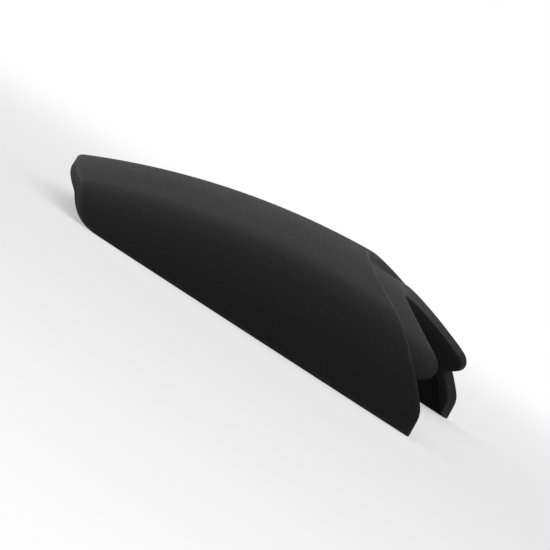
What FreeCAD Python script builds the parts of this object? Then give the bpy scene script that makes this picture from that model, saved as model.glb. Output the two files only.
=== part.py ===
"""Rear mudguard extender for a motorbike: one moulded black plastic shell.

The shell is an arch that carries a rear mudguard on over the tyre. +X points to the front of the bike, +Y to
its left and +Z up, and the part stands on its two straight lower edges, with the origin in the middle of its
footprint. Its skin is a section turned about an axis across the bike, as a mudguard's is. Two such forms give
the wall, as the two halves of a mould do: the outer form less the inner one. Millimetres and degrees.
"""
import FreeCAD, Part
import os
from math import atan2, cos, pi, radians, sin, sqrt, tan

import Sketcher

doc = FreeCAD.newDocument("RearMudguardExtender")

# Driving dimensions. Places along the bike are measured from the tip of the tail, heights from the lower edges.
sheet = doc.addObject("Spreadsheet::Sheet", "Sizes")
SIZES = [
    ("length", "137.4", "from the tip of the tail to the blunt front ends of the skirts"),
    ("front_end_height", "8", "height of those ends, below the mudguard's rear edge"),
    ("front_corner_radius", "8", "bend from the mudguard's edge into those ends, seen from the side"),
    ("crown_peak", "105", "from the tip of the tail to where the crown line is level, under the mudguard"),
    ("crown_height", "37", "crown line where it is level"),
    ("tip_height", "14", "outer skin at the tip of the tail"),
    ("width", "168", "over the skirts, at the lower edges"),
    ("shoulder_radius", "24", "bend from the crown into a skirt"),
    ("flare", "8", "lean of the skirts out of the upright"),
    ("wall", "3", "thickness of the shell"),
    ("tail_radius", "165", "bow of the tail, seen from above"),
    ("tail_corner_radius", "6", "rear lower corners, seen from the side"),
    ("edge_radius", "180", "bow of the mudguard's rear edge, seen square to it"),
    ("edge_lean", "35", "lean of that edge out of the upright, forward at its foot"),
    ("mudguard_wall", "2.5", "thickness of the mudguard that covers the lap"),
    ("bond_gap", "1", "adhesive between the lap and the mudguard"),
    ("lap_width", "10", "how far the lap goes under the mudguard"),
    ("lap_lift", "5", "square-cut ends of the lap: their plane, up the edge from the lower edges' level"),
    ("lap_corner_radius", "6", "front corners of the lap, seen square to it"),
    ("rim_chamfer", "0.6", "broken edges round the outer skin"),
]
for row, (alias, number, note) in enumerate(SIZES, start=1):
    sheet.set(f"A{row}", number)
    sheet.setAlias(f"A{row}", alias)
    sheet.set(f"B{row}", note)
doc.recompute()

# The crown line is one arc about the axis, level at its highest point and through the tip of the tail.
CROWN_FALL = "(Sizes.crown_height - Sizes.tip_height)"
CROWN_ARC = f"((Sizes.crown_peak^2 + {CROWN_FALL}^2) / (2 * {CROWN_FALL}))"
AXIS_Z = f"(Sizes.crown_height - {CROWN_ARC})"
LAP_STEP = "(Sizes.mudguard_wall + Sizes.bond_gap)"

# The mudguard's rear edge is bowed about a leaning axis. It meets the skirts at the top of their blunt ends, and
# in the middle of the bike it stands further back by its bow. Its foot is the top of those ends, up the lean.
EDGE_BOW = "(Sizes.edge_radius - sqrt(Sizes.edge_radius^2 - Sizes.width^2 / 4))"
EDGE_X = f"(Sizes.length + Sizes.front_end_height * tan(Sizes.edge_lean) - {EDGE_BOW} / cos(Sizes.edge_lean))"
EDGE_FOOT = f"(Sizes.front_end_height / cos(Sizes.edge_lean) - {EDGE_BOW} * tan(Sizes.edge_lean))"
SPARE = "(3 * Sizes.wall)"
FAR = "(4 * (Sizes.crown_peak + Sizes.width))"


def value(expression):
    """Number that an expression in the sheet's terms stands for."""
    found = sheet.evalExpression(expression)
    return float(getattr(found, "Value", found))


def sketch_on(body, name, role):
    """Empty sketch on one of a body's origin planes."""
    sketch = body.newObject("Sketcher::SketchObject", name)
    plane = next(feature for feature in body.Origin.OriginFeatures if feature.Role == role)
    sketch.AttachmentSupport = (plane, "")
    sketch.MapMode = "FlatFace"
    return sketch


def drive(sketch, constraint, name, expression):
    """Adds a dimension to a sketch and ties it to the sheet."""
    index = sketch.addConstraint(constraint)
    sketch.renameConstraint(index, name)
    sketch.setExpression(f"Constraints.{name}", expression)


def arch(body, name, inset):
    """Solid arch, `inset` inside the outer skin: a section turned about an axis across the bike.

    The section is the crown, part of a ball about the axis, with a round shoulder and a flared skirt each side.
    """
    foot_z = f"(-{AXIS_Z} - {SPARE})"
    foot_y = f"(Sizes.width / 2 - {inset} / cos(Sizes.flare) + {SPARE} * tan(Sizes.flare))"
    sketch = sketch_on(body, f"{name}Section", "YZ_Plane")
    sketch.setExpression("AttachmentOffset.Base.z", "Sizes.crown_peak")
    sketch.setExpression("AttachmentOffset.Base.y", AXIS_Z)

    # A shoulder's centre lies its own radius inside the skirt's outer line and inside the crown's circle.
    lean, depth = radians(value("Sizes.flare")), value(inset)
    big, small = value(CROWN_ARC), value("Sizes.shoulder_radius")
    skirt_y, skirt_z = value("Sizes.width") / 2 - small * cos(lean), -value(AXIS_Z) - small * sin(lean)
    reach = skirt_z * cos(lean) - skirt_y * sin(lean)
    slide = sqrt(reach**2 + (big - small) ** 2 - skirt_y**2 - skirt_z**2) - reach
    centre_y, centre_z = skirt_y - slide * sin(lean), skirt_z + slide * cos(lean)
    turn = atan2(centre_z, centre_y)
    end_y = centre_y + (small - depth) * cos(lean)
    end_z = centre_z + (small - depth) * sin(lean)
    low_y, low_z = value(foot_y), value(foot_z)

    def arc(y, z, radius, first, last):
        circle = Part.Circle(FreeCAD.Vector(y, z, 0), FreeCAD.Vector(0, 0, 1), radius - depth)
        return sketch.addGeometry(Part.ArcOfCircle(circle, first, last))

    def line(y1, z1, y2, z2):
        return sketch.addGeometry(Part.LineSegment(FreeCAD.Vector(y1, z1, 0), FreeCAD.Vector(y2, z2, 0)))

    crown = arc(0, 0, big, turn, pi - turn)
    left = arc(centre_y, centre_z, small, lean, turn)
    right = arc(-centre_y, centre_z, small, pi - turn, pi - lean)
    left_skirt = line(low_y, low_z, end_y, end_z)
    right_skirt = line(-low_y, low_z, -end_y, end_z)
    floor = line(low_y, low_z, -low_y, low_z)

    start, end, middle = 1, 2, 3
    origin, upright = -1, -2
    rule = Sketcher.Constraint
    sketch.addConstraint([
        rule("Coincident", crown, middle, origin, start),
        rule("Tangent", crown, start, left, end),
        rule("Tangent", crown, end, right, start),
        rule("Tangent", left, start, left_skirt, end),
        rule("Tangent", right, end, right_skirt, end),
        rule("Coincident", left_skirt, start, floor, start),
        rule("Coincident", right_skirt, start, floor, end),
        rule("Symmetric", floor, start, floor, end, upright),
        rule("Equal", left, right),
    ])
    drive(sketch, rule("Radius", crown, big - depth), "crown", f"{CROWN_ARC} - {inset}")
    drive(sketch, rule("Radius", left, small - depth), "shoulder", f"Sizes.shoulder_radius - {inset}")
    drive(sketch, rule("DistanceX", origin, start, floor, start, low_y), "foot_y", foot_y)
    drive(sketch, rule("DistanceY", origin, start, floor, start, low_z), "foot_z", foot_z)
    drive(sketch, rule("Angle", left_skirt, pi / 2 + lean), "left_flare", "90 + Sizes.flare")
    drive(sketch, rule("Angle", right_skirt, pi / 2 - lean), "right_flare", "90 - Sizes.flare")

    turned = body.newObject("PartDesign::Revolution", name)
    turned.Profile = sketch
    turned.ReferenceAxis = (sketch, ["H_Axis"])
    turned.Midplane = True
    turned.setExpression("Angle", f"2 * atan((Sizes.crown_peak + Sizes.width) / -{AXIS_Z})")
    doc.recompute()
    return turned


def trim(body, name, radii, centre="0", lean="0", origin=("0", "0"), both_ways=True):
    """Cuts away what lies inside a circle, or between two, all the way through a body or only below the sketch.

    The sketch leans back from level, has its origin at a place along the middle of the bike and at a height, and
    has the circles' centre ahead of that. Pocket and sketch bear the trim's name.
    """
    sketch = sketch_on(body, f"{name}Circles", "XY_Plane")
    turn_back = FreeCAD.Rotation(FreeCAD.Vector(0, -1, 0), value(lean))
    sketch.AttachmentOffset = FreeCAD.Placement(FreeCAD.Vector(), turn_back)
    sketch.setExpression("AttachmentOffset.Rotation.Angle", lean)
    sketch.setExpression("AttachmentOffset.Base.x", origin[0])
    sketch.setExpression("AttachmentOffset.Base.z", origin[1])
    start, middle = 1, 3
    zero, level = -1, -1
    rule = Sketcher.Constraint
    for number, radius in enumerate(radii):
        ahead = FreeCAD.Vector(value(centre), 0, 0)
        ring = sketch.addGeometry(Part.Circle(ahead, FreeCAD.Vector(0, 0, 1), value(radius)))
        sketch.addConstraint(rule("PointOnObject", ring, middle, level))
        drive(sketch, rule("DistanceX", zero, start, ring, middle, value(centre)), f"centre{number}", centre)
        drive(sketch, rule("Radius", ring, value(radius)), f"radius{number}", radius)
    doc.recompute()
    before = body.Shape.Volume
    pocket = body.newObject("PartDesign::Pocket", name)
    pocket.Profile = sketch
    pocket.SideType = "Symmetric" if both_ways else "One side"
    pocket.Type = "ThroughAll"
    doc.recompute()
    if body.Shape.Volume > before - 1:
        raise RuntimeError(f"{name} cuts nothing")


def trim_at_edge(body, name, radii, up="0", **more):
    """Trim about the mudguard's rear edge, seen square to it, from the lower edges' level or from further up it."""
    place = f"{EDGE_X} - {up} * sin(Sizes.edge_lean)", f"{up} * cos(Sizes.edge_lean)"
    trim(body, name, radii, "Sizes.edge_radius", "Sizes.edge_lean", place, **more)


def front_edge(body, name):
    """Cuts the front of a body along the mudguard's rear edge and the blunt ends of the skirts below it.

    The cutting form is turned about the edge's leaning axis: a cylinder down to the ends, then a bend, then a cone
    that opens so that it stands upright at the skirts.
    """
    sketch = sketch_on(body, f"{name}Profile", "XZ_Plane")
    turn_up = FreeCAD.Rotation(FreeCAD.Vector(0, 0, 1), value("Sizes.edge_lean"))
    sketch.AttachmentOffset = FreeCAD.Placement(FreeCAD.Vector(), turn_up)
    sketch.setExpression("AttachmentOffset.Rotation.Angle", "Sizes.edge_lean")
    sketch.setExpression("AttachmentOffset.Base.x", EDGE_X)
    opening = "atan(tan(Sizes.edge_lean) * cos(asin(Sizes.width / 2 / Sizes.edge_radius)))"
    tall = "(Sizes.length + Sizes.crown_height)"
    slope, corner, bend = radians(value(opening)), value(EDGE_FOOT), value("Sizes.front_corner_radius")
    axis_u, top, bottom = value("Sizes.edge_radius"), value(tall), corner - value(tall)
    back = bend * tan(slope / 2)
    low_u = (bottom - corner) * tan(slope)

    def line(u1, w1, u2, w2):
        return sketch.addGeometry(Part.LineSegment(FreeCAD.Vector(u1, w1, 0), FreeCAD.Vector(u2, w2, 0)))

    axis = line(axis_u, bottom, axis_u, top)
    lid = line(axis_u, top, 0, top)
    cylinder = line(0, top, 0, corner + back)
    centre = FreeCAD.Vector(-bend, corner + back, 0)
    circle = Part.Circle(centre, FreeCAD.Vector(0, 0, 1), bend)
    arc = sketch.addGeometry(Part.ArcOfCircle(circle, -slope, 0))
    cone = line(-back * sin(slope), corner - back * cos(slope), low_u, bottom)
    base = line(low_u, bottom, axis_u, bottom)
    point = sketch.addGeometry(Part.Point(FreeCAD.Vector(0, corner, 0)), True)
    start, end = 1, 2
    origin, upright = -1, -2
    rule = Sketcher.Constraint
    sketch.addConstraint([
        rule("Coincident", axis, end, lid, start),
        rule("Coincident", lid, end, cylinder, start),
        rule("Tangent", cylinder, end, arc, end),
        rule("Tangent", arc, start, cone, start),
        rule("Coincident", cone, end, base, start),
        rule("Coincident", base, end, axis, start),
        rule("Vertical", axis),
        rule("Vertical", cylinder),
        rule("Horizontal", lid),
        rule("Horizontal", base),
        rule("PointOnObject", cylinder, start, upright),
        rule("PointOnObject", point, start, upright),
        rule("PointOnObject", point, start, cone),
    ])
    drive(sketch, rule("DistanceX", origin, start, axis, start, axis_u), "axis", "Sizes.edge_radius")
    drive(sketch, rule("DistanceY", origin, start, lid, start, top), "top", tall)
    drive(sketch, rule("DistanceY", base, start, point, start, value(tall)), "depth", tall)
    drive(sketch, rule("DistanceY", origin, start, point, start, corner), "corner", EDGE_FOOT)
    drive(sketch, rule("Radius", arc, bend), "bend", "Sizes.front_corner_radius")
    drive(sketch, rule("Angle", cone, -pi / 2 - slope), "opening", f"-90 deg - {opening}")
    groove = body.newObject("PartDesign::Groove", name)
    groove.Profile = sketch
    groove.ReferenceAxis = (sketch, ["Edge1"])
    groove.Angle = 360
    doc.recompute()


def combine(body, name, kind, other):
    """Joins another body to a body, or cuts it to or by that body."""
    boolean = body.newObject("PartDesign::Boolean", name)
    boolean.Type = kind
    boolean.Refine = False
    boolean.setObjects([other])
    doc.recompute()


def dress(body, kind, name, size, wanted):
    """Fillet or chamfer on the edges of a body that `wanted` picks."""
    base = body.Tip
    edges = [f"Edge{number}" for number, edge in enumerate(base.Shape.Edges, start=1) if wanted(edge)]
    feature = body.newObject(f"PartDesign::{kind}", name)
    feature.Base = (base, edges)
    feature.setExpression("Radius" if kind == "Fillet" else "Size", size)
    doc.recompute()


# Lap: the strip that goes under the mudguard, one mudguard wall and one layer of adhesive inside the outer skin.
# It reaches one wall back into the shell, where the step that joins the two is.
lap = doc.addObject("PartDesign::Body", "LapForm")
arch(lap, "LapArch", LAP_STEP)
trim_at_edge(lap, "LapFront", ["Sizes.edge_radius - Sizes.lap_width"])
trim_at_edge(lap, "LapRoot", ["Sizes.edge_radius + Sizes.wall", FAR])
trim_at_edge(lap, "LapEnds", [FAR], up="Sizes.lap_lift", both_ways=False)
dress(lap, "Fillet", "LapCorners", "Sizes.lap_corner_radius",
      lambda edge: isinstance(edge.Curve, Part.Circle)
      and abs(edge.Curve.Radius - value("Sizes.edge_radius - Sizes.lap_width")) < 0.01)

# Inner form: one wall inside the outer form, under the shell and under the lap.
lap_core = doc.addObject("PartDesign::Body", "LapCore")
arch(lap_core, "LapCoreArch", f"({LAP_STEP} + Sizes.wall)")
core = doc.addObject("PartDesign::Body", "Core")
arch(core, "CoreArch", "Sizes.wall")
trim_at_edge(core, "CoreFront", ["Sizes.edge_radius + Sizes.wall"])
combine(core, "CoreWithLap", "Fuse", lap_core)

# Shell: the outer form trimmed along the mudguard's edge, the tail and the lower edges, with the lap, less the
# inner form.
shell = doc.addObject("PartDesign::Body", "Extender")
skin = arch(shell, "SkinArch", "0")
front_edge(shell, "FrontEdge")
trim(shell, "Tail", ["Sizes.tail_radius", FAR], centre="Sizes.tail_radius")
trim(shell, "LowerEdges", [FAR], both_ways=False)


def on_skin(edge):
    """Whether an edge lies on the outer skin."""
    point = edge.valueAt((edge.FirstParameter + edge.LastParameter) / 2)
    return skin.Shape.Shells[0].distToShape(Part.Vertex(point))[0] < 0.01


def on_floor(edge):
    """Whether an edge lies in the plane of the lower edges."""
    return abs(edge.BoundBox.ZMax) < 0.01 and abs(edge.BoundBox.ZMin) < 0.01


def is_corner(edge):
    """Whether the faces that meet at an edge of the shell stand at an angle there."""
    point = edge.valueAt((edge.FirstParameter + edge.LastParameter) / 2)
    faces = shell.Tip.Shape.ancestorsOfType(edge, Part.Face)
    one, two = [face.normalAt(*face.Surface.parameter(point)) for face in faces]
    return one.getAngle(two) > radians(10)


# Rear lower corners, and the sharp edges all round the outer skin.
dress(shell, "Fillet", "TailCorners", "Sizes.tail_corner_radius",
      lambda edge: on_floor(edge) and isinstance(edge.Curve, Part.Circle)
      and edge.Curve.Radius < value("Sizes.tail_radius") + 1)
dress(shell, "Chamfer", "Rim", "Sizes.rim_chamfer", lambda edge: on_skin(edge) and is_corner(edge))

combine(shell, "WithLap", "Fuse", lap)
combine(shell, "Hollow", "Cut", core)

shell.Label = "mudguard_extender"
middle = shell.Shape.optimalBoundingBox().Center
shell.Placement.Base = FreeCAD.Vector(-middle.x, 0, 0)
doc.recompute()

failed = [feature.Name for feature in doc.Objects if {"Invalid", "Error"} & set(feature.State)]
if failed:
    raise RuntimeError(f"failed: {failed}")
if shell.Shape.isNull() or not shell.Shape.isValid() or len(shell.Shape.Solids) != 1:
    raise RuntimeError("the shell is not one valid solid")
os.makedirs("parts", exist_ok=True)
shell.Shape.exportStep(f"parts/{shell.Label}.step")
box = shell.Shape.optimalBoundingBox()
print(f"{shell.Label}: {box.XLength:.1f} x {box.YLength:.1f} x {box.ZLength:.1f} mm, "
      f"{shell.Shape.Volume / 1000:.1f} cm3")
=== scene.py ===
from functools import cache
from math import atan, atan2, cos, pi, radians, sin, sqrt, tan

import bmesh
import bpy
import numpy as np
from mathutils import Matrix, Vector


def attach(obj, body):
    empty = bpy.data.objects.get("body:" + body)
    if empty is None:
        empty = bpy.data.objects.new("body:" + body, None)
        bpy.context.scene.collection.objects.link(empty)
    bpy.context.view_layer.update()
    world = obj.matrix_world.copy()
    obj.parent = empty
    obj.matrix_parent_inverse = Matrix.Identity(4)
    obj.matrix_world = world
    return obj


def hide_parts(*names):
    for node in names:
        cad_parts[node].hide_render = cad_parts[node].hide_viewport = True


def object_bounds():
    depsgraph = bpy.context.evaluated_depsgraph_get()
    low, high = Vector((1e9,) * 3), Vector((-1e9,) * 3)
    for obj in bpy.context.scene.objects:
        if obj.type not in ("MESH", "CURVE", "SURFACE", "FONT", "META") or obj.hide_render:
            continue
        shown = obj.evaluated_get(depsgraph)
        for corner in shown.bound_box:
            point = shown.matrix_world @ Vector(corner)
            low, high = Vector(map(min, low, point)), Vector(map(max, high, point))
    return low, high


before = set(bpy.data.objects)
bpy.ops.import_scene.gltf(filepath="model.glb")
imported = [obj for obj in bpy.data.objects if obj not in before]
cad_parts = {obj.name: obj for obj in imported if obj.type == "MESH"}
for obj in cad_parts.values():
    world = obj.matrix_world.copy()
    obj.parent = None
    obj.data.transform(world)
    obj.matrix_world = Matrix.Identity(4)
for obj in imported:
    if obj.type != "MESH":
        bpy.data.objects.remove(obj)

cad_low, cad_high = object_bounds()


# Mudguard extender: one arched shell of black ABS, injection moulded in one piece with an even wall. Its
# front edge steps down to a lap, and along that lap it is bonded in place. Lengths are in millimetres from
# the tip of the tail, heights from the straight lower edges.
LENGTH, FRONT_END_HEIGHT, FRONT_CORNER = 137.4, 8.0, 8.0
CROWN_PEAK, CROWN_HEIGHT, TIP_HEIGHT = 105.0, 37.0, 14.0
WIDTH, SHOULDER, FLARE, WALL = 168.0, 24.0, radians(8), 3.0
TAIL_RADIUS, TAIL_CORNER = 165.0, 6.0
EDGE_RADIUS, EDGE_LEAN = 180.0, radians(35)
LAP_STEP, LAP_WIDTH, LAP_LIFT, LAP_CORNER = 3.5, 10.0, 5.0, 6.0

crown_fall = CROWN_HEIGHT - TIP_HEIGHT
crown_arc = (CROWN_PEAK**2 + crown_fall**2) / (2 * crown_fall)
axis_z = CROWN_HEIGHT - crown_arc
edge_bow = EDGE_RADIUS - sqrt(EDGE_RADIUS**2 - WIDTH**2 / 4)
edge_x = LENGTH + FRONT_END_HEIGHT * tan(EDGE_LEAN) - edge_bow / cos(EDGE_LEAN)

# The shoulder's centre lies one shoulder radius inside the skirt's line and inside the crown's circle.
foot_y, foot_r = WIDTH / 2 - SHOULDER * cos(FLARE), -axis_z - SHOULDER * sin(FLARE)
reach = foot_r * cos(FLARE) - foot_y * sin(FLARE)
slide = sqrt(reach**2 + (crown_arc - SHOULDER) ** 2 - foot_y**2 - foot_r**2) - reach
shoulder_y, shoulder_r = foot_y - slide * sin(FLARE), foot_r + slide * cos(FLARE)
shoulder_turn = atan2(shoulder_r, shoulder_y)
crown_run = crown_arc * (pi / 2 - shoulder_turn)
shoulder_run = SHOULDER * (shoulder_turn - FLARE)


def section(s, depth):
    """Half width and distance from the turning axis of the point that lies s along the outer section from
    its middle and depth inside it: along the crown's arc, round the shoulder, then down the skirt's line."""
    run = np.abs(s)
    on_crown = pi / 2 - np.minimum(run, crown_run) / crown_arc
    on_shoulder = shoulder_turn - np.clip(run - crown_run, 0, shoulder_run) / SHOULDER
    on_skirt = np.maximum(run - crown_run - shoulder_run, 0)
    crown_y, crown_r = (crown_arc - depth) * np.cos(on_crown), (crown_arc - depth) * np.sin(on_crown)
    bend_y = shoulder_y + (SHOULDER - depth) * np.cos(on_shoulder) + on_skirt * sin(FLARE)
    bend_r = shoulder_r + (SHOULDER - depth) * np.sin(on_shoulder) - on_skirt * cos(FLARE)
    past = run > crown_run
    return np.sign(s) * np.where(past, bend_y, crown_y), np.where(past, bend_r, crown_r)


def on_tail(s, depth):
    """Turn about the axis at which the section's point s meets the tail, an upright cylinder."""
    y, r = section(s, depth)
    return np.arcsin((TAIL_RADIUS - np.sqrt(TAIL_RADIUS**2 - y**2) - CROWN_PEAK) / r)


# The front is cut by a form turned about the edge's leaning axis: a cylinder, then a bend, then a cone that
# stands upright at the skirts and gives them their blunt ends.
opening = atan(tan(EDGE_LEAN) * sqrt(1 - (WIDTH / 2 / EDGE_RADIUS) ** 2))
bend_low = FRONT_END_HEIGHT / cos(EDGE_LEAN) - edge_bow * tan(EDGE_LEAN)
bend_top = bend_low + FRONT_CORNER * tan(opening / 2)


def on_cylinder(s, depth, radius):
    """Turn at which the section's point s meets a cylinder of that radius about the edge's leaning axis."""
    y, r = section(s, depth)
    ahead = EDGE_RADIUS - np.sqrt(radius**2 - y**2)
    offset = (CROWN_PEAK - edge_x) * cos(EDGE_LEAN) + axis_z * sin(EDGE_LEAN)
    return np.arcsin((ahead - offset) / r) - EDGE_LEAN


def up_the_edge(s, turn, depth):
    """Height of a point along the edge's leaning axis."""
    r = section(s, depth)[1]
    ahead, up = CROWN_PEAK + r * np.sin(turn) - edge_x, axis_z + r * np.cos(turn)
    return up * cos(EDGE_LEAN) - ahead * sin(EDGE_LEAN)


# Rounds after which a search that closes in on a point has settled.
ROUNDS = 60


def on_edge(s, depth, radius):
    """Turn at which the section's point s meets the front: a cylinder about the leaning axis for the lap and
    inside the shell, and for the edge the turned form, by taking its radius at the height reached so far."""
    if radius < EDGE_RADIUS:
        return on_cylinder(s, depth, radius)
    turn = on_cylinder(s, depth, EDGE_RADIUS)
    for _ in range(ROUNDS):
        below = np.maximum(bend_top - up_the_edge(s, turn, depth), 0)
        arc = FRONT_CORNER - np.sqrt(FRONT_CORNER**2 - np.minimum(below, FRONT_CORNER * sin(opening)) ** 2)
        cone = np.maximum(below - FRONT_CORNER * sin(opening), 0) * tan(opening)
        turn = on_cylinder(s, depth, EDGE_RADIUS + arc + cone)
    return np.minimum(turn, on_cylinder(s, depth, radius))


def at_radius(r, depth):
    """Place along the section's shoulder or skirt at a distance from the turning axis: the arc or the line
    solved for it."""
    start = shoulder_r + (SHOULDER - depth) * sin(FLARE)
    low = crown_run + shoulder_run + (start - r) / cos(FLARE)
    angle = np.arcsin(np.clip((r - shoulder_r) / (SHOULDER - depth), -1, 1))
    return np.where(r > start, crown_run + (shoulder_turn - angle) * SHOULDER, low)


@cache
def front_foot(depth):
    """Section place and length at which the front meets the floor, by stepping between the two, from the
    crown's peak, until they agree."""
    turn = np.array(0.0)
    for _ in range(ROUNDS):
        s = at_radius(-axis_z / np.cos(turn), depth)
        turn = on_edge(s, depth, EDGE_RADIUS)
    return float(s), CROWN_PEAK - axis_z * float(np.tan(turn))


@cache
def lap_end(depth, radius):
    """Section place at which a line along the front passes the end of the lap, found by halving. The end is
    cut square to the edge, and its front corner is a quarter circle."""
    past = min(max(LAP_CORNER - (radius - EDGE_RADIUS + LAP_WIDTH), 0), LAP_CORNER)
    lift = LAP_LIFT + LAP_CORNER - sqrt(LAP_CORNER**2 - past**2)
    low, high = 0.0, front_foot(depth)[0]
    for _ in range(ROUNDS):
        middle = np.array((low + high) / 2)
        above = up_the_edge(middle, on_edge(middle, depth, radius), depth) > lift
        low, high = (float(middle), high) if above else (low, float(middle))
    return low


def place(s, turn, depth):
    """Points in metres: across from the section, and along and up by the turn about the axis."""
    y, r = section(s, depth)
    x = CROWN_PEAK + r * np.sin(turn)
    return np.stack([x, y, axis_z + r * np.cos(turn)], axis=-1) / 1000 + np.array([cad_low.x, 0, 0])


# Steps along and across, as shares of the way. A close step beside each edge keeps its rounding small, and
# the ends of the lap lie on steps of their own. The steps along the lower edge are spread as if the tail's
# corner ended at CORNER_END.
ALONG_STEPS, LAP_STEPS, END_STEPS = 62, 44, 10
CLOSE, LAP_SHARE, CORNER_END = 0.009, 0.84, 33.0
along = np.concatenate([[0], np.linspace(CLOSE, 1 - CLOSE, ALONG_STEPS), [1]])
half_steps = np.concatenate([np.linspace(0, LAP_SHARE - CLOSE, LAP_STEPS), [LAP_SHARE],
                             np.linspace(LAP_SHARE, 1 - CLOSE, END_STEPS + 1)[1:], [1]])
across = np.concatenate([-half_steps[:0:-1], half_steps])
lapped = np.abs(across) < LAP_SHARE + CLOSE / 2


def lower_edge(depth):
    """Section places and turns along the lower edge: from the tail round the corner, a quarter circle
    between the tail's cylinder and the floor, and then straight ahead on the floor to the front."""
    front_x = front_foot(depth)[1]
    bend = TAIL_CORNER * pi / 2
    run = along * (bend + front_x - CORNER_END)
    angle = np.minimum(run / TAIL_CORNER, pi / 2)
    inside, z = TAIL_CORNER * (1 - np.cos(angle)), TAIL_CORNER * (1 - np.sin(angle))
    straight = np.maximum(run - bend, 0) / (run[-1] - bend)
    y = np.full_like(along, WIDTH / 2)
    for _ in range(ROUNDS):
        at_bend = TAIL_RADIUS - np.sqrt((TAIL_RADIUS - inside) ** 2 - y**2)
        x = at_bend + (front_x - at_bend) * straight
        s = at_radius(np.hypot(x - CROWN_PEAK, z - axis_z), depth)
        y = section(s, depth)[0]
    return s, np.arctan2(x - CROWN_PEAK, z - axis_z)


def front_line(depth, radius):
    """Section places of the steps across, on one line at the front: even shares of the way to the lap's end,
    then of the way from there to the floor."""
    end, foot = lap_end(depth, radius), front_foot(depth)[0]
    size = np.abs(across)
    beyond = end + (foot - end) * (size - LAP_SHARE) / (1 - LAP_SHARE)
    return np.sign(across) * np.where(size < LAP_SHARE, size / LAP_SHARE * end, beyond)


def skin(depth, radius):
    """Points over one skin, tail to front and right to left: the sum of its two pairs of boundaries, less
    the bilinear patch through its corners, as in a patch that fills four curves."""
    low_s, low_turn = lower_edge(depth)
    tail_s, front_s = across * low_s[0], front_line(depth, radius)
    a = along[:, None]
    s = (1 - a) * tail_s + a * front_s
    s = s + across * (low_s - (1 - along) * low_s[0] - along * low_s[-1])[:, None]
    turn = (1 - a) * on_tail(tail_s, depth) + a * on_edge(front_s, depth, radius)
    turn = turn + (low_turn - (1 - along) * low_turn[0] - along * low_turn[-1])[:, None]
    return place(s, turn, depth)


def front_row(depth, radius):
    """Points of one line across at the front."""
    s = front_line(depth, radius)
    return place(s, on_edge(s, depth, radius), depth)


def tail_row(depth):
    """Points across the tail at one depth in the wall."""
    s = across * lower_edge(depth)[0][0]
    return place(s, on_tail(s, depth), depth)


def lap_row(depth, forward):
    """Points across the lap, from end to end, at one depth and one distance forward of the front edge."""
    radius = EDGE_RADIUS - forward
    s = across[lapped] / LAP_SHARE * lap_end(depth, radius)
    return place(s, on_edge(s, depth, radius), depth)


# Depths in the wall and in the lap, and steps forward over the lap and round its corner, each with a close
# step beside its edges. The front face's rows from lap_root on lie at the root of the lap.
BREAK, LAP_BREAK, LAP_CORNER_STEPS = 0.9, 0.15, 9
wall_depths = np.array([0, BREAK, WALL - BREAK, WALL])
lap_depths = LAP_STEP + wall_depths
lap_low = lap_depths[-1]
lap_root = len(wall_depths) - 1
lap_round = LAP_WIDTH - LAP_CORNER * (1 - np.sin(np.linspace(0, pi / 2, LAP_CORNER_STEPS)))
lap_forward = np.concatenate([[0, BREAK], lap_round[:-1], [LAP_WIDTH - LAP_BREAK, LAP_WIDTH]])

outer, inner = skin(0.0, EDGE_RADIUS), skin(WALL, EDGE_RADIUS + WALL)
tail = np.array([tail_row(depth) for depth in wall_depths])
feet = np.array([place(*lower_edge(depth), depth) for depth in wall_depths])
front = np.array([front_row(depth, EDGE_RADIUS) for depth in [*wall_depths[:lap_root], *lap_depths]])
under = np.array([front_row(lap_low, EDGE_RADIUS + back) for back in wall_depths])
behind_depths = [lap_low, lap_low - BREAK, WALL + BREAK, WALL]
behind = np.array([front_row(depth, EDGE_RADIUS + WALL) for depth in behind_depths])

# The return under the edge runs out towards the lower edges, where the blunt ends cut it off. It ends where
# it would be thinner than this, in metres.
THINNEST = 0.0003
run_out = under[0, :, 0] - under[-1, :, 0] < THINNEST
front[lap_root:, run_out] = under[:, run_out] = behind[:, run_out] = inner[-1, run_out]

lap_top = np.array([lap_row(lap_depths[0], forward) for forward in lap_forward])
lap_under = np.array([lap_row(lap_low, forward) for forward in lap_forward])
lap_front = np.array([lap_row(depth, LAP_WIDTH) for depth in lap_depths])
lap_ends = np.array([[lap_row(depth, forward)[[0, -1]] for forward in lap_forward] for depth in lap_depths])
grids = [outer, inner, tail, feet, feet * [1, -1, 1], under, behind, lap_top, lap_under, lap_front,
         lap_ends[:, :, 0], lap_ends[:, :, 1]]


def quads(rows, columns, start):
    """Quads between the rows and columns of a grid whose points are numbered from a start."""
    number = start + np.arange(rows * columns).reshape(rows, columns)
    corners = number[:-1, :-1], number[1:, :-1], number[1:, 1:], number[:-1, 1:]
    return np.stack(corners, axis=-1)


# The grids are put one after the other. In the front face the lap takes the place of the quads at its root.
front_quads = quads(*front.shape[:2], 0)
root = lapped[:-1] & lapped[1:]
keep = np.ones(front_quads.shape[:2], bool)
keep[lap_root:, root] = False
points, faces = [front.reshape(-1, 3)], [front_quads[keep]]
for grid in grids:
    faces.append(quads(*grid.shape[:2], sum(map(len, points))).reshape(-1, 4))
    points.append(grid.reshape(-1, 3))
points, faces = np.concatenate(points), np.concatenate(faces)

# Distance of each point from the nearest point of the outer rim, for the painted sheen and the smoother
# finish along the edges. It is worked out in lots, to save memory.
LOTS = 20
rim = np.concatenate([outer[0], outer[-1], outer[:, 0], outer[:, -1], lap_front.reshape(-1, 3)])
to_rim = np.concatenate([np.linalg.norm(lot[:, None] - rim, axis=-1).min(axis=1)
                         for lot in np.array_split(points, LOTS)])

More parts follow.
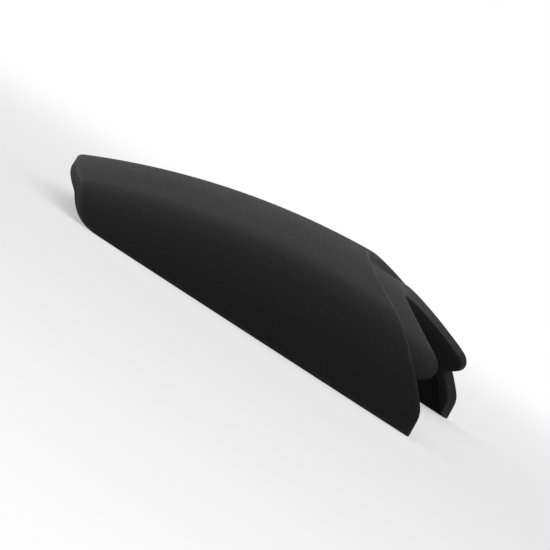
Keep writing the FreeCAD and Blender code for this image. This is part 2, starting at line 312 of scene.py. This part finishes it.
# The grids' common points are merged, faces are turned outwards, and one subdivision rounds the edges.
TOUCHING, EMPTY = 2e-6, 1e-6
mesh = bpy.data.meshes.new("extender_shell")
mesh.from_pydata(points, [], faces.tolist())
mesh.attributes.new("to_rim", "FLOAT", "POINT").data.foreach_set("value", to_rim)
work = bmesh.new()
work.from_mesh(mesh)
bmesh.ops.remove_doubles(work, verts=work.verts, dist=TOUCHING)
bmesh.ops.dissolve_degenerate(work, edges=work.edges, dist=EMPTY)
bmesh.ops.recalc_face_normals(work, faces=work.faces)
if work.calc_volume(signed=True) < 0:
    bmesh.ops.reverse_faces(work, faces=work.faces)
work.to_mesh(mesh)
work.free()
mesh.shade_smooth()
shell = bpy.data.objects.new("extender_shell", mesh)
bpy.context.collection.objects.link(shell)
rounding = shell.modifiers.new("moulded_edges", "SUBSURF")
rounding.levels = rounding.render_levels = 1
rounded = shell.evaluated_get(bpy.context.evaluated_depsgraph_get())
shell.data = bpy.data.meshes.new_from_object(rounded)
shell.modifiers.clear()
shell.data.name = "moulded_shell"

# The solid is faceted, so its box is a few hundredths of a millimetre smaller than the true curves. The mesh
# is held inside that box.
coordinates = np.empty((len(shell.data.vertices), 3), np.float32)
shell.data.vertices.foreach_get("co", coordinates.ravel())
coordinates = np.clip(coordinates, np.float32(cad_low), np.float32(cad_high))
shell.data.vertices.foreach_set("co", coordinates.ravel())

# Matt black ABS, dyed through. The mould's fine spark-eroded grain covers it, the dye and the gloss drift
# slightly over the part, and the rim has a painted sheen, a little paler, and is a little smoother.
DEEP_BLACK, PALER_BLACK = (0.0105, 0.0105, 0.011, 1), (0.0145, 0.0145, 0.0148, 1)
# A paler black painted along the rim as a sheen.
PAINTED_RIM_SHEEN = (0.024, 0.024, 0.0245, 1)
SPECULAR, LEAST_ROUGH, MOST_ROUGH, RUBBED_SMOOTH = 0.12, 0.70, 0.76, 0.07
RIM_BAND_START, RIM_BAND_END, RAGGED, GRAIN_HEIGHT = 0.0001, 0.0014, 0.0008, 0.0004
plastic = bpy.data.materials.new("matt_black_abs")
plastic.use_nodes = True
nodes, links = plastic.node_tree.nodes, plastic.node_tree.links
surface = nodes["Principled BSDF"]
surface.inputs["Specular IOR Level"].default_value = SPECULAR
position = nodes.new("ShaderNodeTexCoord").outputs["Object"]


def node(kind, **values):
    """Adds a node to the plastic and sets its inputs by name."""
    made = nodes.new(kind)
    for name, number in values.items():
        made.inputs[name.replace("_", " ")].default_value = number
    return made


def noise(scale, detail, roughness):
    """Noise over the piece's own coordinates, with so many features to the metre."""
    made = node("ShaderNodeTexNoise", Scale=scale, Detail=detail, Roughness=roughness)
    links.new(position, made.inputs["Vector"])
    return made.outputs["Fac"]


def spread(value, from_low, from_high, to_low, to_high):
    """Maps a value between two limits to two others, held at the ends."""
    made = node("ShaderNodeMapRange", From_Min=from_low, From_Max=from_high, To_Min=to_low, To_Max=to_high)
    links.new(value, made.inputs["Value"])
    return made.outputs["Result"]


def added(one, two):
    """Sum of two values."""
    made = nodes.new("ShaderNodeMath")
    links.new(one, made.inputs[0])
    links.new(two, made.inputs[1])
    return made.outputs["Value"]


def mixed(share):
    """Mix of two colours by a share, with both colours still to be set."""
    made = nodes.new("ShaderNodeMix")
    made.data_type = "RGBA"
    links.new(share, made.inputs["Factor"])
    return made


grain = noise(scale=1500.0, detail=3.0, roughness=0.6)
drift = noise(scale=38.0, detail=3.0, roughness=0.55)
flow = noise(scale=9.0, detail=1.0, roughness=0.5)
rim_band_noise = noise(scale=420.0, detail=4.0, roughness=0.6)

# Painted sheen and smoothing are strongest on the rim; their ragged end lies about a millimetre in from it.
rim_distance = nodes.new("ShaderNodeAttribute")
rim_distance.attribute_name = "to_rim"
ragged = added(rim_distance.outputs["Fac"], spread(rim_band_noise, 0.3, 0.7, -RAGGED, RAGGED))
rim_sheen_and_smoothing = spread(ragged, RIM_BAND_START, RIM_BAND_END, 1.0, 0.0)

dyed = mixed(spread(drift, 0.3, 0.7, 0.0, 1.0))
dyed.inputs["A"].default_value = DEEP_BLACK
dyed.inputs["B"].default_value = PALER_BLACK
# Painted sheen: the colour goes over to the paler black towards the rim.
rim_sheen_mix = mixed(rim_sheen_and_smoothing)
links.new(dyed.outputs["Result"], rim_sheen_mix.inputs["A"])
rim_sheen_mix.inputs["B"].default_value = PAINTED_RIM_SHEEN
links.new(rim_sheen_mix.outputs["Result"], surface.inputs["Base Color"])

rough = added(spread(drift, 0.25, 0.75, LEAST_ROUGH, MOST_ROUGH), spread(flow, 0.3, 0.7, -0.02, 0.03))
rough = added(rough, spread(grain, 0.35, 0.7, -0.02, 0.05))
rough = added(rough, spread(rim_sheen_and_smoothing, 0.0, 1.0, 0.0, -RUBBED_SMOOTH))
links.new(rough, surface.inputs["Roughness"])

relief = node("ShaderNodeBump", Strength=0.6, Distance=GRAIN_HEIGHT)
links.new(grain, relief.inputs["Height"])
links.new(relief.outputs["Normal"], surface.inputs["Normal"])

shell.data.materials.append(plastic)
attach(shell, "root")
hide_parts("mudguard_extender")


# Floor: a wide matt pale sheet under the lower edges, cut square. Away from the part it goes over into the
# white of the background, and near the part it keeps the shadow.
FLOOR_HALF, FLOOR_COLOUR = 12.0, (0.92, 0.92, 0.92, 1)
FADE_START, FADE_END, LEAST_WHITE = 0.15, 0.7, 0.45
FLOOR_ROUGH, FLOOR_SPECULAR = 0.9, 0.1
floor_mesh = bpy.data.meshes.new("floor")
floor_corners = np.array([(-1, -1, 0), (1, -1, 0), (1, 1, 0), (-1, 1, 0)]) * FLOOR_HALF
floor_mesh.from_pydata(floor_corners, [], [(0, 1, 2, 3)])
floor = bpy.data.objects.new("floor", floor_mesh)
bpy.context.collection.objects.link(floor)

pale = bpy.data.materials.new("pale_floor")
pale.use_nodes = True
tree = pale.node_tree
sheet = tree.nodes["Principled BSDF"]
sheet.inputs["Base Color"].default_value = FLOOR_COLOUR
sheet.inputs["Roughness"].default_value = FLOOR_ROUGH
sheet.inputs["Specular IOR Level"].default_value = FLOOR_SPECULAR
white = tree.nodes.new("ShaderNodeEmission")
where = tree.nodes.new("ShaderNodeTexCoord")
away = tree.nodes.new("ShaderNodeVectorMath")
away.operation = "LENGTH"
tree.links.new(where.outputs["Object"], away.inputs[0])
fade = tree.nodes.new("ShaderNodeMapRange")
fade.interpolation_type = "SMOOTHSTEP"
fade.inputs["From Min"].default_value = FADE_START
fade.inputs["From Max"].default_value = FADE_END
fade.inputs["To Min"].default_value = LEAST_WHITE
tree.links.new(away.outputs["Value"], fade.inputs["Value"])


def looked_at(tree):
    """Value that is 1 for the rays that show the background: the camera's own, and those that a surface
    mirrors or lets through, as the largest of the three."""
    rays = tree.nodes.new("ShaderNodeLightPath")
    shown = rays.outputs["Is Camera Ray"]
    for kind in ("Is Glossy Ray", "Is Transmission Ray"):
        larger = tree.nodes.new("ShaderNodeMath")
        larger.operation = "MAXIMUM"
        tree.links.new(shown, larger.inputs[0])
        tree.links.new(rays.outputs[kind], larger.inputs[1])
        shown = larger.outputs["Value"]
    return shown


mask = tree.nodes.new("ShaderNodeMath")
mask.operation = "MULTIPLY"
tree.links.new(fade.outputs["Result"], mask.inputs[0])
tree.links.new(looked_at(tree), mask.inputs[1])
blend = tree.nodes.new("ShaderNodeMixShader")
tree.links.new(mask.outputs["Value"], blend.inputs["Fac"])
tree.links.new(sheet.outputs["BSDF"], blend.inputs[1])
tree.links.new(white.outputs["Emission"], blend.inputs[2])
tree.links.new(blend.outputs["Shader"], tree.nodes["Material Output"].inputs["Surface"])
floor_mesh.materials.append(pale)


# Light: an even pale room, white where it is seen or mirrored, and one wide soft lamp overhead, a little
# behind the part and aimed at it.
ROOM_LEVEL, WHITE = 0.28, (1, 1, 1, 1)
LAMP_PLACE, LAMP_SIDES, LAMP_WATTS = Vector((-0.2, 0.25, 1.6)), (3.4, 3.0), 26
world = bpy.data.worlds.new("studio")
bpy.context.scene.world = world
world.use_nodes = True
tree = world.node_tree
room = tree.nodes["Background"]
room.inputs["Color"].default_value = WHITE
room.inputs["Strength"].default_value = ROOM_LEVEL
backdrop = tree.nodes.new("ShaderNodeBackground")
backdrop.inputs["Color"].default_value = WHITE
blend = tree.nodes.new("ShaderNodeMixShader")
tree.links.new(looked_at(tree), blend.inputs["Fac"])
tree.links.new(room.outputs["Background"], blend.inputs[1])
tree.links.new(backdrop.outputs["Background"], blend.inputs[2])
tree.links.new(blend.outputs["Shader"], tree.nodes["World Output"].inputs["Surface"])

lamp = bpy.data.lights.new("overhead", "AREA")
lamp.shape = "RECTANGLE"
lamp.size, lamp.size_y = LAMP_SIDES
lamp.energy = LAMP_WATTS
overhead = bpy.data.objects.new("overhead", lamp)
overhead.location = LAMP_PLACE
overhead.rotation_euler = (-LAMP_PLACE).to_track_quat("-Z", "Y").to_euler()
bpy.context.collection.objects.link(overhead)


# Camera: the photograph's viewing angle, from the part's right and slightly from ahead, rolled by the slope
# at which the part is fixed, with its front lower than its tail. A long lens from close to a metre.
VIEW_AZIMUTH, VIEW_HEIGHT, VIEW_ROLL = radians(6.4), radians(3.0), radians(32.4)
TARGET, DISTANCE, LENS, SENSOR = Vector((0.002, 0.0, 0.014)), 0.96, 200.0, 36.0
ahead, aside = sin(VIEW_AZIMUTH), cos(VIEW_AZIMUTH)
back = Vector((ahead * cos(VIEW_HEIGHT), -aside * cos(VIEW_HEIGHT), sin(VIEW_HEIGHT)))
right = Vector((aside, ahead, 0))
level_up = back.cross(right)
turned_right = right * cos(VIEW_ROLL) + level_up * sin(VIEW_ROLL)
turned_up = level_up * cos(VIEW_ROLL) - right * sin(VIEW_ROLL)
lens = bpy.data.cameras.new("camera")
lens.lens, lens.sensor_width = LENS, SENSOR
camera = bpy.data.objects.new("camera", lens)
turn_to_view = Matrix((turned_right, turned_up, back)).transposed().to_4x4()
camera.matrix_world = Matrix.Translation(TARGET + back * DISTANCE) @ turn_to_view
bpy.context.collection.objects.link(camera)
bpy.context.scene.camera = camera
bpy.context.scene.view_settings.view_transform = "Standard"
